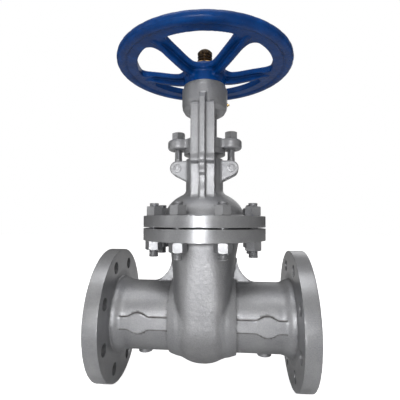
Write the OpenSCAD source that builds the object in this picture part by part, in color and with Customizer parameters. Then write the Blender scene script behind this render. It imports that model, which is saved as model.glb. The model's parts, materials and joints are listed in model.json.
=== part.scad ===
// Flanged wedge gate valve with an outside screw and yoke, shown closed.
// Each module works about the valve's centre, where the stem axis crosses the pipe axis.
// The if lines at the end move the whole valve so that its inlet face is at the origin.
// +X runs along the pipe from inlet to outlet and +Z up the stem.

/* [Pipe ends] */
// Distance between the two pipe flange faces
face_to_face = 310; // [300:5:380]
// Bore of the flow passage
bore_d = 80; // [64:1:96]
// Outside diameter of a pipe flange
flange_d = 200; // [190:1:240]
// Thickness of a pipe flange without its raised face
flange_t = 21; // [16:1:26]
// Diameter of the raised sealing face
raised_face_d = 138; // [130:1:140]
// Height of the raised sealing face
raised_face_h = 3; // [2:0.5:4]
// Bolt circle of the pipe flange
pipe_bolt_circle_d = 160; // [160:1:200]
// Bolt hole in the pipe flange
pipe_bolt_hole_d = 18; // [14:1:22]
// Number of bolts in each pipe flange
pipe_bolt_count = 8; // [4:4:12]
// Wall of the pipe neck
pipe_wall = 11.7; // [8:0.1:14]

/* [Body] */
// Height of the bonnet joint above the top of the bore
neck_h = 94.3; // [85:0.1:115]
// Half width of the neck along the pipe, just under the bonnet flange
neck_half_x = 51; // [46:1:56]
// Half width of the neck across the pipe
neck_half_y = 64; // [62:1:66]
// Thickness of the body's bonnet flange
body_flange_t = 18; // [14:1:22]
// Thickness of the gussets between neck and pipe
gusset_t = 9; // [6:1:14]

/* [Bonnet joint] */
// Diameter of the two joint flanges
joint_flange_d = 190; // [186:1:210]
// Thickness of the bonnet's flange
bonnet_flange_t = 16.9; // [14:0.1:20]
// Gasket thickness, which is the gap between the flanges
gasket_t = 1.8; // [1:0.1:4]
// Bolt circle of the bonnet joint
stud_circle_d = 160; // [158:1:166]
// Stud diameter
stud_d = 14; // [12:1:16]
// Number of studs
stud_count = 8; // [4:4:8]
// Stud nut, across flats
stud_nut_af = 22; // [20:0.5:24]
// Stud nut height
stud_nut_h = 14; // [11:1:16]

/* [Bonnet and yoke] */
// Height of the dome between flange and stuffing box
dome_h = 40; // [36:1:48]
// Height of the stuffing box above the dome
box_h = 50; // [46:1:60]
// Radius of the stuffing box outside
box_r = 29.5; // [28:0.5:32]
// Clear height of the yoke above the stuffing box
yoke_h = 71; // [68:1:90]
// Width of a yoke arm
arm_w = 36; // [28:1:40]
// Distance from the stem axis to the outer face of an arm
arm_face_y = 45; // [43:1:50]
// Width of the rib on a yoke arm
arm_rib_w = 9; // [6:1:14]
// Radius of the yoke head
head_r = 36.5; // [35:0.5:42]

/* [Gate] */
// Half thickness of the wedge on the pipe axis
wedge_half_t = 16; // [14:0.5:18]
// Angle of each seat from the vertical
seat_angle = 5; // [3:0.5:6]
// Radial width of a seat ring
seat_ring_w = 10; // [8:0.5:12]

/* [Stem and gland] */
// Stem diameter
stem_d = 24; // [20:0.5:28]
// Section of the square stem packing
packing_w = 8; // [6:0.5:8.5]
// Number of packing rings
packing_count = 4; // [3:1:4]
// Eyebolt diameter
eyebolt_d = 12; // [10:1:14]
// Distance from the stem axis to each eyebolt
eyebolt_x = 42.3; // [42:0.1:48]
// Gland nut, across flats
gland_nut_af = 19; // [17:0.5:22]
// Thickness of the gland flange at its ends
gland_flange_t = 17; // [12:1:20]

/* [Handwheel] */
// Outside diameter of the handwheel
wheel_d = 280; // [240:5:340]
// Radial width of the rim
rim_w = 32.4; // [24:0.1:36]
// Number of spokes
spoke_count = 5; // [3:1:6]
// Width of a spoke
spoke_w = 24; // [18:1:28]
// Height of the hub
hub_h = 29.5; // [26:0.5:36]

/* [Hidden] */
$fn = 64;

// clearances
run_clear = 0.05;   // radial gap of a shaft that turns or slides in its own bore
free_clear = 0.3;   // gap between curved faces that must not touch
slide_clear = 0.5;  // gap beside a guide or a T-head
seat_gap = 0.2;     // gap between wedge facing and seat ring
packing_gap = 0.1;  // gap between neighbouring packing rings

// pipe ends
half_length = face_to_face / 2;
rim_x = half_length - raised_face_h;
hub_x = rim_x - flange_t;
bore_r = bore_d / 2;
joint_z = bore_r + neck_h;
pipe_r = bore_r + pipe_wall;
hub_flare = 8;
hub_len = 18;

// seats and gate
seat_r = bore_r + seat_ring_w;
seat_len = 18;
wedge_r = seat_r - 2;
facing_t = 3;
facing_proud = 0.8;
facing_w = wedge_r - bore_r - 1;
flex_groove_w = 9;
flex_hub_r = 0.6 * bore_r;
boss_half_x = 17;
boss_half_y = 20;
boss_foot_z = bore_r - 4;
tee_z = wedge_r + 4;
tee_h = 10.5;
tee_half_y = 16;
tee_half_x = 12;
tee_neck_r = stem_d / 2 - 2;
boss_top_z = tee_z + tee_h + 9.5;
lift = bore_d + 7.5;

// body chamber
cavity_half_x = wedge_half_t + 8;
cavity_r = wedge_r + 5;
cavity_half_y = cavity_r - 1;
chamber_r = cavity_r + 15;
collar_r = seat_r + 10;
collar_x0 = 28;
collar_x1 = 48;
upper_cavity_z = seat_r + 6;
upper_cavity_r = neck_half_x - 13;
neck_offset_y = neck_half_y - neck_half_x;
guide_w = flex_groove_w - 2 * slide_clear;
guide_reach = wedge_r - 5;
pad_x = 91.5 / 155 * half_length;
pad_r = 14.5;
pad_half_h = 8.5;
pad_proud = 1.6;
drain_pad_r = 10.5;
drain_pad_proud = 5.5;
gusset_r = 39.3;
gusset_top_z = pipe_r + 36.3;

// bonnet joint
joint_flange_r = joint_flange_d / 2;
body_flange_z = joint_z - body_flange_t;
bonnet_z = joint_z + gasket_t;
bonnet_flange_z = bonnet_z + bonnet_flange_t;
gasket_r0 = cavity_half_y + 3;
gasket_r1 = gasket_r0 + 11 / 18 * (stud_circle_d / 2 - stud_d / 2 - gasket_r0);
stud_end = 5;

// bonnet dome, stuffing box and yoke
box_z = bonnet_flange_z + dome_h;
box_top_z = box_z + box_h;
head_z = box_top_z + yoke_h;
stem_r = stem_d / 2;
packing_r = stem_r + packing_w;
packing_z = box_z + 12;
packing_h = packing_count * packing_w;
backseat_bush_r = stem_r + 6;
backseat_bush_z = box_z - 6;
bonnet_cavity_r = cavity_half_y;
arm_t = 9.5;
arm_rib_y = arm_face_y + 10;
arm_inner_y = arm_face_y - arm_t;
arm_top_z = head_z + 4;
arm_shoulder_z = box_top_z - 7;

// gland
gland_gap = 7;
bush_flange_t = 8;
bush_flange_r = packing_r + 13;
bush_z = packing_z + packing_h;
bush_flange_z = box_top_z + gland_gap;
gland_z = bush_flange_z + bush_flange_t;
gland_top_z = gland_z + gland_flange_t;
gland_boss_r = 17;
gland_disc_r = bush_flange_r - 3;
gland_web_lift = 2;
gland_nut_h = 12;
eyebolt_r = eyebolt_d / 2;
eyebolt_top_z = gland_top_z + gland_nut_h + 1;
eye_r = 10;
eye_half_t = 6;
pin_r = 5;
pin_z = box_top_z - 15;
lug_r = 11.5;
lug_gap = eye_half_t + 0.4;
lug_face_y = 14;
pin_head_r = 6.5;
pin_head_t = 2;
pin_tail = 5;
cotter_r = 1.2;
cotter_reach = pin_r + 3;

// yoke head, stem nut and bearings
head_h = 41;
head_top_z = head_z + head_h;
nut_r = stem_r + 5.5;
nut_collar_r = nut_r + 9.5;
nut_collar_h = 6;
bearing_z = head_z + 8;
race_t = 3.4;
ball_r = 3;
ball_gap = 0.05;
ball_count = 14;
ball_circle_r = nut_r + 6;
race_turning_r = nut_collar_r + 1;
pocket_r = nut_collar_r + 2;
row_h = 2 * race_t + 2 * (ball_r + ball_gap);
collar_z = bearing_z + row_h;
upper_row_z = collar_z + nut_collar_h;
cage_half_h = 1;
cage_half_w = 3.2;
cap_spigot_z = upper_row_z + row_h;
cap_t = 7;
cap_r = head_r - 2.5;
cap_top_z = head_top_z + cap_t;
set_screw_r = 2.2;
nipple_z = head_z + 18;
nipple_r = 3;
nipple_out = 3.5;

// handwheel
wheel_r = wheel_d / 2;
rim_inner_r = wheel_r - rim_w;
rim_step_r = wheel_r - rim_w / 2;
hub_z = cap_top_z + 0.5;
hub_top_z = hub_z + hub_h;
hub_r = cap_r - 1;
hub_top_r = hub_r - 2;
rim_z = hub_top_z - 2;
rim_h = 14;
web_h = 8;
spoke_foot_z = hub_top_z - 16;
spoke_rib_w = 9;
spoke_start = 90;
key_w = 6;
key_h = 24;
lock_nut_r = nut_r + 3.5;
lock_nut_h = 6;
lock_thread_r = nut_r - 2.5;
nut_top_z = hub_top_z + lock_nut_h + 1;
stem_rise = 33;
stem_dome_h = 6;
stem_top_z = hub_top_z + stem_rise;
backseat_r = stem_r + 3;
backseat_z = backseat_bush_z - lift - slide_clear;

// Moves the valve so that its inlet face is the plane x = 0.
module at_inlet() { translate([half_length, 0, 0]) children(); }

// Copies a shape around +Z, with the first copy at angle start.
module around(count, r, start = 0) {
    for (i = [0 : count - 1])
        rotate([0, 0, start + i * 360 / count]) translate([r, 0, 0]) children();
}

// A cylinder along +X that starts at x.
module rod_x(x, r, length) { translate([x, 0, 0]) rotate([0, 90, 0]) cylinder(h = length, r = r); }

// A cylinder along Y, centred on the plane y = 0.
module rod_y(r, length) { rotate([90, 0, 0]) cylinder(h = length, r = r, center = true); }

// A ring about +Z from height z0 to z1.
module ring(r0, r1, z0, z1) {
    translate([0, 0, z0]) difference() {
        cylinder(h = z1 - z0, r = r1);
        translate([0, 0, -1]) cylinder(h = z1 - z0 + 2, r = r0);
    }
}

// A hexagon nut with its bore.
module hex_nut(af, height, bore) {
    difference() {
        cylinder(h = height, r = af / sqrt(3), $fn = 6);
        translate([0, 0, -1]) cylinder(h = height + 2, r = bore);
    }
}

// An outline in the XZ plane, extruded across the pipe.
module across(width) { rotate([90, 0, 0]) linear_extrude(height = width, center = true) children(); }

// An outline in the YZ plane, extruded along the pipe.
module along(width) {
    rotate([90, 0, 90]) linear_extrude(height = width, center = true) children();
}

// Two mirrored copies, one on each side of the plane x = 0.
module both_x() { for (side = [0, 1]) mirror([side, 0, 0]) children(); }

// Two mirrored copies, one on each side of the plane y = 0.
module both_y() { for (side = [0, 1]) mirror([0, side, 0]) children(); }

// The plane of a seat: local +Z is the way the seat faces out from the wedge.
module on_seat_plane() { translate([wedge_half_t, 0, 0]) rotate([0, 90 + seat_angle, 0]) children(); }

// An oval prism with round ends across the pipe.
module oval(r, offset_y, z0, z1) {
    translate([0, 0, z0]) linear_extrude(height = z1 - z0) {
        both_y() translate([0, offset_y]) circle(r = r);
        square([2 * r, 2 * offset_y], center = true);
    }
}

module pipe_end() {
    rod_x(0, pipe_r, rim_x);
    rod_x(hub_x, flange_d / 2, flange_t);
    rod_x(rim_x, raised_face_d / 2, raised_face_h);
    translate([hub_x - hub_len, 0, 0]) rotate([0, 90, 0])
        cylinder(h = hub_len + 1, r1 = pipe_r, r2 = pipe_r + hub_flare);
    rod_x(collar_x0, collar_r, collar_x1 - collar_x0);
}

module pipe_pads() {
    translate([pad_x, 0, 0]) rod_y(pad_r, 2 * (pipe_r + pad_proud));
    translate([(collar_x0 + hub_x) / 2, 0, 0])
        cube([hub_x - collar_x0 - 6, 2 * (pipe_r + pad_proud - 0.2), 2 * pad_half_h], center = true);
    translate([pad_x, 0, -pipe_r - drain_pad_proud]) cylinder(h = pipe_r, r = drain_pad_r);
}

module gusset() {
    across(gusset_t) difference() {
        translate([0, pipe_r - 6]) square([neck_half_x + gusset_r, gusset_top_z - pipe_r + 6]);
        translate([neck_half_x + gusset_r, gusset_top_z]) circle(r = gusset_r);
    }
}

// The outside of the chamber: an oval neck that narrows downwards to a round bottom.
module chamber() {
    intersection() {
        oval(neck_half_x + 4, neck_offset_y, -chamber_r, joint_z - 1);
        across(2 * chamber_r) polygon([
            [-24, -chamber_r], [24, -chamber_r], [32, -0.6 * chamber_r], [38, 0],
            [neck_half_x - 5, 0.5 * joint_z], [neck_half_x, 0.75 * joint_z],
            [neck_half_x + 4, body_flange_z], [neck_half_x + 4, joint_z],
            [-neck_half_x - 4, joint_z], [-neck_half_x - 4, body_flange_z],
            [-neck_half_x, 0.75 * joint_z], [-neck_half_x + 5, 0.5 * joint_z],
            [-38, 0], [-32, -0.6 * chamber_r]
        ]);
        union() {
            rod_x(-half_length, chamber_r, face_to_face);
            translate([-half_length, -neck_half_y, 0])
                cube([face_to_face, 2 * neck_half_y, joint_z]);
        }
    }
}

// The space that the wedge closes and rises through.
module chamber_cavity() {
    rod_x(-cavity_half_x, cavity_r, 2 * cavity_half_x);
    translate([-cavity_half_x, -cavity_half_y, 0])
        cube([2 * cavity_half_x, 2 * cavity_half_y, upper_cavity_z + 1]);
    oval(upper_cavity_r, cavity_half_y - upper_cavity_r, upper_cavity_z, joint_z + 1);
}

module wedge_guides() {
    both_y() translate([-guide_w / 2, guide_reach, -0.6 * bore_r])
        cube([guide_w, chamber_r - guide_reach - 8, body_flange_z + 0.6 * bore_r]);
}

module body() {
    color("silver") difference() {
        union() {
            difference() {
                union() {
                    both_x() pipe_end();
                    both_x() pipe_pads();
                    both_x() gusset();
                    chamber();
                    translate([0, 0, body_flange_z]) cylinder(h = body_flange_t, r = joint_flange_r);
                }
                chamber_cavity();
            }
            wedge_guides();
        }
        rod_x(-half_length - 1, bore_r, face_to_face + 2);
        both_x() on_seat_plane() translate([0, 0, -seat_gap]) cylinder(h = seat_len + seat_gap, r = seat_r);
        both_x() rotate([0, 90, 0])
            around(pipe_bolt_count, pipe_bolt_circle_d / 2, 180 / pipe_bolt_count)
            cylinder(h = half_length + 1, r = pipe_bolt_hole_d / 2);
        around(stud_count, stud_circle_d / 2, 180 / stud_count)
            translate([0, 0, body_flange_z - 1]) cylinder(h = body_flange_t + 2, r = stud_d / 2);
    }
}

module seat_ring() {
    on_seat_plane() ring(bore_r, seat_r, seat_gap, seat_len);
}

module seat_ring_inlet() { color("gainsboro") mirror([1, 0, 0]) seat_ring(); }

module seat_ring_outlet() { color("gainsboro") seat_ring(); }

module wedge_outline() {
    slope = tan(seat_angle);
    face_x = wedge_half_t - facing_proud;
    polygon([
        [-face_x + slope * wedge_r, -wedge_r], [face_x - slope * wedge_r, -wedge_r],
        [face_x + slope * wedge_r, wedge_r], [-face_x - slope * wedge_r, wedge_r]
    ]);
}

module wedge() {
    color("darkgray") difference() {
        union() {
            difference() {
                intersection() {
                    across(2 * wedge_r + 2) wedge_outline();
                    rod_x(-half_length, wedge_r, face_to_face);
                }
                difference() {
                    rod_x(-flex_groove_w / 2, wedge_r + 1, flex_groove_w);
                    rod_x(-flex_groove_w, flex_hub_r, 2 * flex_groove_w);
                }
            }
            translate([-boss_half_x, -boss_half_y, boss_foot_z])
                cube([2 * boss_half_x, 2 * boss_half_y, boss_top_z - boss_foot_z]);
        }
        both_x() on_seat_plane() ring(bore_r + 0.5, bore_r + 0.5 + facing_w, facing_proud - facing_t, 5);
        translate([-half_length, -tee_half_y - slide_clear, tee_z - slide_clear])
            cube([face_to_face, 2 * (tee_half_y + slide_clear), tee_h + slide_clear]);
        translate([-half_length, -tee_neck_r - slide_clear, tee_z])
            cube([face_to_face, 2 * (tee_neck_r + slide_clear), boss_top_z]);
    }
}

module wedge_facing_rings() {
    color("gainsboro") both_x() on_seat_plane()
        ring(bore_r + 0.5, bore_r + 0.5 + facing_w, facing_proud - facing_t, 0);
}

module stem() {
    color("dimgray") union() {
        translate([-tee_half_x, -tee_half_y, tee_z]) cube([2 * tee_half_x, 2 * tee_half_y, tee_h]);
        translate([0, 0, tee_z]) cylinder(h = boss_top_z - tee_z + 4, r = tee_neck_r);
        translate([0, 0, boss_top_z + 3])
            cylinder(h = stem_top_z - stem_dome_h - boss_top_z - 3, r = stem_r);
        translate([0, 0, stem_top_z - stem_dome_h]) cylinder(h = stem_dome_h, r1 = stem_r, r2 = stem_r - 5);
        translate([0, 0, backseat_z - 6]) cylinder(h = 3, r = backseat_r);
        translate([0, 0, backseat_z - 3]) cylinder(h = 3, r1 = backseat_r, r2 = stem_r);
    }
}

module bonnet_gasket() { color("dimgray") ring(gasket_r0, gasket_r1, joint_z, bonnet_z); }

// The bonnet's turned outside, from its flange to the top of the stuffing box.
module bonnet_outline() {
    polygon([
        [0, bonnet_z], [joint_flange_r, bonnet_z], [joint_flange_r, bonnet_flange_z],
        [2.25 * box_r, bonnet_flange_z], [2.12 * box_r, bonnet_flange_z + 0.1 * dome_h],
        [1.75 * box_r, bonnet_flange_z + 0.51 * dome_h], [1.36 * box_r, bonnet_flange_z + 0.8 * dome_h],
        [1.08 * box_r, bonnet_flange_z + 0.93 * dome_h], [box_r, box_z + 2],
        [box_r, box_top_z], [0, box_top_z]
    ]);
}

module bonnet_cavity_outline() {
    polygon([
        [0, bonnet_z - 1], [bonnet_cavity_r, bonnet_z - 1], [bonnet_cavity_r, bonnet_flange_z - 3],
        [0.85 * bonnet_cavity_r, bonnet_flange_z + 0.33 * dome_h],
        [0.58 * bonnet_cavity_r, bonnet_flange_z + 0.68 * dome_h],
        [backseat_bush_r, backseat_bush_z], [backseat_bush_r, packing_z],
        [packing_r, packing_z], [packing_r, box_top_z + 1], [0, box_top_z + 1]
    ]);
}

// A yoke arm's flat, seen from the side: it grows out of the stuffing box and ends in the head.
module arm_flat() {
    along(arm_w) polygon([
        [backseat_bush_r, box_z - 5], [arm_face_y - 4, box_z - 5], [arm_face_y, arm_shoulder_z],
        [arm_face_y, arm_top_z], [head_r - 3, arm_top_z + 8], [head_r - 8, arm_top_z],
        [arm_inner_y, head_z - 4], [arm_inner_y, box_top_z + 3], [bush_flange_r + 1, box_top_z],
        [backseat_bush_r, box_top_z]
    ]);
}

module arm_rib() {
    along(arm_rib_w) polygon([
        [box_r - 4, box_z - 9], [arm_rib_y - 8, box_z - 9], [arm_rib_y, arm_shoulder_z - 3],
        [arm_rib_y, arm_top_z + 2], [head_r - 1, arm_top_z + 22], [head_r - 4, arm_top_z + 10],
        [arm_inner_y + 3, head_z], [arm_inner_y + 3, box_top_z - 2], [box_r - 4, box_top_z - 2]
    ]);
}

module yoke_head_outline() {
    polygon([
        [0, head_z], [head_r - 14, head_z], [head_r - 5, head_z + 4], [head_r - 1, head_z + 10],
        [head_r, head_z + 17], [head_r, head_top_z - 3], [head_r - 1, head_top_z], [0, head_top_z]
    ]);
}

module lug_outline() {
    translate([eyebolt_x, pin_z]) circle(r = lug_r);
    polygon([
        [box_r - 8, pin_z + lug_r], [eyebolt_x, pin_z + lug_r],
        [eyebolt_x + 4.6, pin_z - 0.917 * lug_r], [box_r - 3, pin_z - 24], [box_r - 8, pin_z - 24]
    ]);
}

module bonnet() {
    color("silver") difference() {
        union() {
            rotate_extrude() bonnet_outline();
            both_y() arm_flat();
            both_y() arm_rib();
            rotate_extrude() yoke_head_outline();
            both_x() both_y() translate([0, (lug_gap + lug_face_y) / 2, 0])
                across(lug_face_y - lug_gap) lug_outline();
        }
        rotate_extrude() bonnet_cavity_outline();
        translate([0, 0, head_z - 1]) cylinder(h = head_h, r = nut_r + run_clear);
        translate([0, 0, bearing_z]) cylinder(h = head_h, r = pocket_r);
        both_x() translate([eyebolt_x, 0, pin_z]) rod_y(pin_r + run_clear, 2 * lug_face_y + 2);
        around(stud_count, stud_circle_d / 2, 180 / stud_count)
            translate([0, 0, bonnet_z - 1]) cylinder(h = bonnet_flange_t + 2, r = stud_d / 2);
        both_x() translate([0, 0, cap_spigot_z - set_screw_r]) rod_x(pocket_r - 1, set_screw_r, head_r);
        translate([0, 0, nipple_z]) rod_x(pocket_r - 1, nipple_r, head_r);
    }
}

module bonnet_studs() {
    z0 = body_flange_z - stud_nut_h - 2 * stud_end;
    z1 = bonnet_flange_z + stud_nut_h + stud_end;
    color("silver") around(stud_count, stud_circle_d / 2, 180 / stud_count)
        translate([0, 0, z0]) cylinder(h = z1 - z0, r = stud_d / 2);
}

module stud_nuts(z) {
    color("silver") around(stud_count, stud_circle_d / 2, 180 / stud_count)
        translate([0, 0, z]) hex_nut(stud_nut_af, stud_nut_h, stud_d / 2);
}

module bonnet_nuts_upper() { stud_nuts(bonnet_flange_z); }

module bonnet_nuts_lower() { stud_nuts(body_flange_z - stud_nut_h); }

module backseat_bush() {
    color("gainsboro") ring(stem_r + run_clear, backseat_bush_r, backseat_bush_z, packing_z);
}

module packing_rings() {
    color("black") for (i = [0 : packing_count - 1])
        ring(stem_r + run_clear, packing_r,
            packing_z + i * packing_w, packing_z + (i + 1) * packing_w - packing_gap);
}

module gland_bush() {
    color("silver") union() {
        ring(stem_r + free_clear, packing_r - free_clear, bush_z, gland_z);
        ring(packing_r - 2, bush_flange_r, bush_flange_z, gland_z);
    }
}

module gland_flange() {
    color("silver") difference() {
        union() {
            both_x() translate([eyebolt_x, 0, gland_z]) cylinder(h = gland_flange_t, r = gland_boss_r);
            translate([-eyebolt_x, -0.85 * gland_boss_r, gland_z + gland_web_lift])
                cube([2 * eyebolt_x, 1.7 * gland_boss_r, gland_flange_t - gland_web_lift]);
            translate([0, 0, gland_z]) cylinder(h = gland_flange_t, r = gland_disc_r);
        }
        translate([0, 0, gland_z - 1]) cylinder(h = gland_flange_t + 2, r = stem_r + 1);
        both_x() translate([eyebolt_x, 0, gland_z - 1])
            cylinder(h = gland_flange_t + 2, r = eyebolt_r + 1);
    }
}

// The pieces of the gland's two bolts take side as -1 for the inlet side and 1 for the outlet side.
module gland_nut(side) {
    translate([side * eyebolt_x, 0, gland_top_z])
        hex_nut(gland_nut_af, gland_nut_h, eyebolt_r + run_clear);
}

module gland_nut_left() { color("silver") gland_nut(-1); }

module gland_nut_right() { color("silver") gland_nut(1); }

module eyebolt(side) {
    translate([side * eyebolt_x, 0, 0]) difference() {
        union() {
            translate([0, 0, pin_z]) rod_y(eye_r, 2 * eye_half_t);
            translate([0, 0, pin_z + 2]) cylinder(h = eyebolt_top_z - pin_z - 2, r = eyebolt_r);
        }
        translate([0, 0, pin_z]) rod_y(pin_r + run_clear, 4 * eye_half_t);
    }
}

module eyebolt_left() { color("silver") eyebolt(-1); }

module eyebolt_right() { color("silver") eyebolt(1); }

// A pin with a thin head in front and a cotter hole in its tail behind.
module hinge_pin(side) {
    translate([side * eyebolt_x, 0, pin_z]) difference() {
        union() {
            translate([0, lug_face_y + pin_tail, 0]) rotate([90, 0, 0])
                cylinder(h = 2 * lug_face_y + pin_tail, r = pin_r);
            translate([0, -lug_face_y, 0]) rotate([90, 0, 0]) cylinder(h = pin_head_t, r = pin_head_r);
        }
        translate([0, lug_face_y + pin_tail / 2, -pin_r - 1]) cylinder(h = 2 * pin_r + 2, r = cotter_r);
    }
}

module hinge_pin_left() { color("silver") hinge_pin(-1); }

module hinge_pin_right() { color("silver") hinge_pin(1); }

module cotter_pins() {
    color("black") both_x() translate([eyebolt_x, lug_face_y + pin_tail / 2, pin_z - cotter_reach])
        cylinder(h = 2 * cotter_reach, r = cotter_r);
}

module bearing_race_lower_fixed() {
    color("lightgray") ring(nut_r + 1, pocket_r, bearing_z, bearing_z + race_t);
}

module bearing_race_lower_turning() {
    color("lightgray") ring(nut_r, race_turning_r, collar_z - race_t, collar_z);
}

module bearing_race_upper_turning() {
    color("lightgray") ring(nut_r, race_turning_r, upper_row_z, upper_row_z + race_t);
}

module bearing_race_upper_fixed() {
    color("lightgray") ring(nut_r + 1, pocket_r, cap_spigot_z - race_t, cap_spigot_z);
}

// The middle height of the lower and of the upper row of balls.
ball_rows = [bearing_z + row_h / 2, upper_row_z + row_h / 2];

module bearing_balls() {
    color("gainsboro") for (z = ball_rows)
        around(ball_count, ball_circle_r) translate([0, 0, z]) sphere(r = ball_r);
}

module bearing_cages() {
    color("goldenrod") for (z = ball_rows) difference() {
        ring(ball_circle_r - cage_half_w, ball_circle_r + cage_half_w, z - cage_half_h, z + cage_half_h);
        around(ball_count, ball_circle_r) translate([0, 0, z - 2 * cage_half_h])
            cylinder(h = 4 * cage_half_h, r = ball_r + run_clear);
    }
}

module bearing_cap() {
    color("silver") difference() {
        union() {
            ring(nut_r + 0.5, cap_r, head_top_z, cap_top_z);
            ring(nut_r + 0.5, pocket_r, cap_spigot_z, head_top_z + 1);
        }
        around(2, (cap_r + pocket_r) / 2, 45) translate([0, 0, cap_top_z - 4]) cylinder(h = 5, r = 2);
    }
}

module bearing_set_screws() {
    color("gainsboro") both_x() translate([0, 0, cap_spigot_z - set_screw_r])
        rod_x(pocket_r, set_screw_r, head_r - pocket_r - 0.5);
}

module grease_nipple() {
    color("goldenrod") translate([0, 0, nipple_z]) union() {
        rod_x(pocket_r, nipple_r, head_r - pocket_r + nipple_out - 1.5);
        rod_x(head_r, 0.7 * nipple_r, nipple_out);
    }
}

module key_space() { translate([nut_r - key_w / 2, -key_w / 2, hub_z + 2]) cube([key_w, key_w, key_h]); }

module stem_nut() {
    color("peru") difference() {
        union() {
            translate([0, 0, head_z + 1]) cylinder(h = hub_top_z - head_z - 1, r = nut_r);
            translate([0, 0, collar_z]) cylinder(h = nut_collar_h, r = nut_collar_r);
            translate([0, 0, hub_top_z - 1]) cylinder(h = nut_top_z - hub_top_z + 1, r = lock_thread_r);
        }
        translate([0, 0, head_z]) cylinder(h = nut_top_z - head_z + 1, r = stem_r + run_clear);
        key_space();
    }
}

module handwheel_key() { color("gray") key_space(); }

// The rim: a rounded grip outside and a flat web inside, with a step between them.
module rim_outline() {
    polygon([
        [rim_inner_r, rim_z + 3], [rim_step_r, rim_z + 2.5], [rim_step_r + 1, rim_z + 0.5],
        [rim_step_r + 4, rim_z], [wheel_r - 5, rim_z + 1], [wheel_r - 1.5, rim_z + 4],
        [wheel_r, rim_z + rim_h / 2], [wheel_r - 1, rim_z + rim_h - 3], [wheel_r - 5, rim_z + rim_h],
        [rim_step_r + 3, rim_z + rim_h], [rim_step_r, rim_z + 3 + web_h], [rim_inner_r, rim_z + 3 + web_h]
    ]);
}

module spoke() {
    across(spoke_w) polygon([
        [nut_r + 4, spoke_foot_z + 8], [rim_inner_r + 3, rim_z + 4],
        [rim_inner_r + 3, rim_z + 3 + web_h], [nut_r + 4, hub_top_z]
    ]);
    across(spoke_rib_w) polygon([
        [nut_r + 4, spoke_foot_z], [rim_inner_r + 3, rim_z], [rim_inner_r + 3, rim_z + web_h],
        [nut_r + 4, hub_top_z - 2]
    ]);
}

module handwheel() {
    color("royalblue") difference() {
        union() {
            rotate_extrude($fn = 128) rim_outline();
            translate([0, 0, hub_z]) cylinder(h = hub_h, r1 = hub_r, r2 = hub_top_r);
            for (i = [0 : spoke_count - 1]) rotate([0, 0, spoke_start + i * 360 / spoke_count]) spoke();
        }
        translate([0, 0, hub_z - 1]) cylinder(h = hub_h + 2, r = nut_r);
        key_space();
    }
}

module handwheel_lock_nut() {
    color("goldenrod") difference() {
        ring(lock_thread_r, lock_nut_r, hub_top_z, hub_top_z + lock_nut_h);
        around(4, lock_nut_r) translate([0, 0, hub_top_z - 1]) cylinder(h = lock_nut_h + 2, r = 2.5);
    }
}

at_inlet() body();
at_inlet() seat_ring_inlet();
at_inlet() seat_ring_outlet();
at_inlet() wedge();
at_inlet() wedge_facing_rings();
at_inlet() stem();
at_inlet() bonnet_gasket();
at_inlet() bonnet();
at_inlet() bonnet_studs();
at_inlet() bonnet_nuts_upper();
at_inlet() bonnet_nuts_lower();
at_inlet() backseat_bush();
at_inlet() packing_rings();
at_inlet() gland_bush();
at_inlet() gland_flange();
at_inlet() gland_nut_left();
at_inlet() gland_nut_right();
at_inlet() eyebolt_left();
at_inlet() eyebolt_right();
at_inlet() hinge_pin_left();
at_inlet() hinge_pin_right();
at_inlet() cotter_pins();
at_inlet() bearing_race_lower_fixed();
at_inlet() bearing_race_lower_turning();
at_inlet() bearing_race_upper_turning();
at_inlet() bearing_race_upper_fixed();
at_inlet() bearing_balls();
at_inlet() bearing_cages();
at_inlet() bearing_cap();
at_inlet() bearing_set_screws();
at_inlet() grease_nipple();
at_inlet() stem_nut();
at_inlet() handwheel_key();
at_inlet() handwheel();
at_inlet() handwheel_lock_nut();
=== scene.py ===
"""The look of the flanged gate valve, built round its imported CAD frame.

Shapes are worked out in millimetres about the valve's centre, where the stem axis crosses the
pipe axis, and row() moves them to the frame's metres. Castings are contoured from a distance
field, which gives them fillets. Turned and threaded pieces are swept from their profiles.
"""

import json
import math

import bmesh
import bpy
import numpy as np
from mathutils import Matrix, Vector


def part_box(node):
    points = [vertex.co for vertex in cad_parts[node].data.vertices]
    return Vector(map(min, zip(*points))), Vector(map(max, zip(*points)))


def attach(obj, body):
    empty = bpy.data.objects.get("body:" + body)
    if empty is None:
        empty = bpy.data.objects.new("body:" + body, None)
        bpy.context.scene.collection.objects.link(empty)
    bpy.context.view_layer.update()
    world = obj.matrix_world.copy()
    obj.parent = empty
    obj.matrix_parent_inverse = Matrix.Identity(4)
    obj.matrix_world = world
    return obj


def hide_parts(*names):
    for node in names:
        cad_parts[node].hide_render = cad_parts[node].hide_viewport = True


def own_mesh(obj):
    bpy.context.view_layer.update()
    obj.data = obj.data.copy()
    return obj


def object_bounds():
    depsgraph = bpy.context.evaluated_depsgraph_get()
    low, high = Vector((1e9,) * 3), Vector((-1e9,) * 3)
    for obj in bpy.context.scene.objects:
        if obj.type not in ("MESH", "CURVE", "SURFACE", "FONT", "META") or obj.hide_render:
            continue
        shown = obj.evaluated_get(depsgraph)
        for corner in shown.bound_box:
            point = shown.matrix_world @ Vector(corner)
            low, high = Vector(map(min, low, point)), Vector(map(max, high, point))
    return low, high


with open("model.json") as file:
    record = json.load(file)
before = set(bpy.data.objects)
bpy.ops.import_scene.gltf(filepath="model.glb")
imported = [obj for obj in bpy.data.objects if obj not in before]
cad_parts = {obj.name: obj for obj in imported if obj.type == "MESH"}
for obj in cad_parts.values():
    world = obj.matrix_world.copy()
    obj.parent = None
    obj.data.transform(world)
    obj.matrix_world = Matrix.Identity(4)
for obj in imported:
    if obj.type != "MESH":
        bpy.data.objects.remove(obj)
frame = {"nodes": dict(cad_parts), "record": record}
nodes = frame["nodes"]
cad_box = [list(corner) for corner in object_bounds()]

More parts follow.
